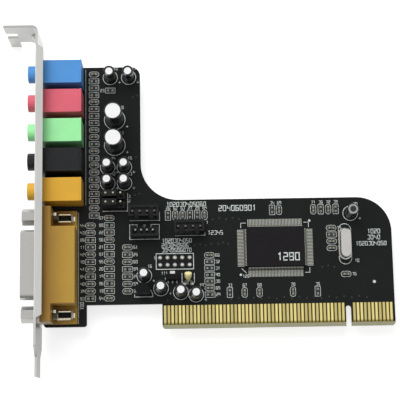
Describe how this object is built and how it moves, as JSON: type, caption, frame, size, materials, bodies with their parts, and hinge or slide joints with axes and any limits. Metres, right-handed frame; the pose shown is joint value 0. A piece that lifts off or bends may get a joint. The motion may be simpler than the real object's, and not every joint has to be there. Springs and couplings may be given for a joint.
{
  "type": "pci sound card",
  "caption": "Black PCI sound card lying flat, with a steel slot bracket, coloured audio jacks, a game port, a flat audio chip and can capacitors.",
  "frame": {"origin": "centre of the key notch, on the lower edge of the slot tongue, halfway through the board", "axes": "+X along the board away from the bracket, +Y from the slot towards the bracket's screw tab, +Z out of the side that carries the parts"},
  "size_m": [0.1331, 0.12, 0.0216],
  "materials": {
    "board_laminate": "satin",
    "contact_gold": "polished",
    "bracket_steel": "satin",
    "blue_plastic": "satin",
    "pink_plastic": "satin",
    "green_plastic": "satin",
    "black_plastic": "satin",
    "orange_plastic": "satin",
    "spring_metal": "satin",
    "shell_metal": "satin",
    "core_plastic": "satin",
    "gold_plastic": "satin",
    "clip_metal": "satin",
    "jackscrew_metal": "satin",
    "chip_resin": "matte",
    "tinned_metal": "satin",
    "crystal_metal": "satin",
    "can_sleeve": "gloss",
    "header_plastic": "satin",
    "pin_metal": "polished",
    "bead_resin": "gloss",
    "resistor_ceramic": "satin",
    "capacitor_ceramic": "satin"
  },
  "bodies": {
    "root": {"audio_chip_body": "chip_resin", "audio_chip_leads": "tinned_metal", "aux_header_housing": "header_plastic", "aux_header_pins": "pin_metal", "bead_capacitor": "bead_resin", "center_speaker_jack": "orange_plastic", "center_speaker_jack_contacts": "spring_metal", "chip_capacitors": "capacitor_ceramic", "chip_resistors": "resistor_ceramic", "circuit_board": "board_laminate", "crystal": "crystal_metal", "disc_header_housing": "header_plastic", "disc_header_pins": "pin_metal", "edge_contacts_back": "contact_gold", "edge_contacts_front": "contact_gold", "end_capacitor": "can_sleeve", "fine_header_housing": "header_plastic", "fine_header_pins": "pin_metal", "front_speaker_jack": "green_plastic", "front_speaker_jack_contacts": "spring_metal", "game_port_clip_lower": "clip_metal", "game_port_clip_upper": "clip_metal", "game_port_core": "core_plastic", "game_port_cover": "gold_plastic", "game_port_pins": "pin_metal", "game_port_shell": "shell_metal", "jackscrews": "jackscrew_metal", "jumper_base_lower": "header_plastic", "jumper_base_upper": "header_plastic", "jumper_cap_lower": "header_plastic", "jumper_cap_upper": "header_plastic", "jumper_pins": "pin_metal", "line_in_jack": "blue_plastic", "line_in_jack_contacts": "spring_metal", "lower_capacitor_1": "can_sleeve", "lower_capacitor_2": "can_sleeve", "lower_capacitor_3": "can_sleeve", "lower_capacitor_4": "can_sleeve", "microphone_jack": "pink_plastic", "microphone_jack_contacts": "spring_metal", "output_capacitor_1": "can_sleeve", "output_capacitor_2": "can_sleeve", "output_capacitor_3": "can_sleeve", "output_capacitor_4": "can_sleeve", "power_transistor_body": "chip_resin", "power_transistor_leads": "tinned_metal", "rear_speaker_jack": "black_plastic", "rear_speaker_jack_contacts": "spring_metal", "regulator_body": "chip_resin", "regulator_leads": "tinned_metal", "slot_bracket": "bracket_steel", "supply_capacitor_1": "can_sleeve", "supply_capacitor_2": "can_sleeve", "top_capacitor_1": "can_sleeve", "top_capacitor_2": "can_sleeve"}
  },
  "joints": []
}
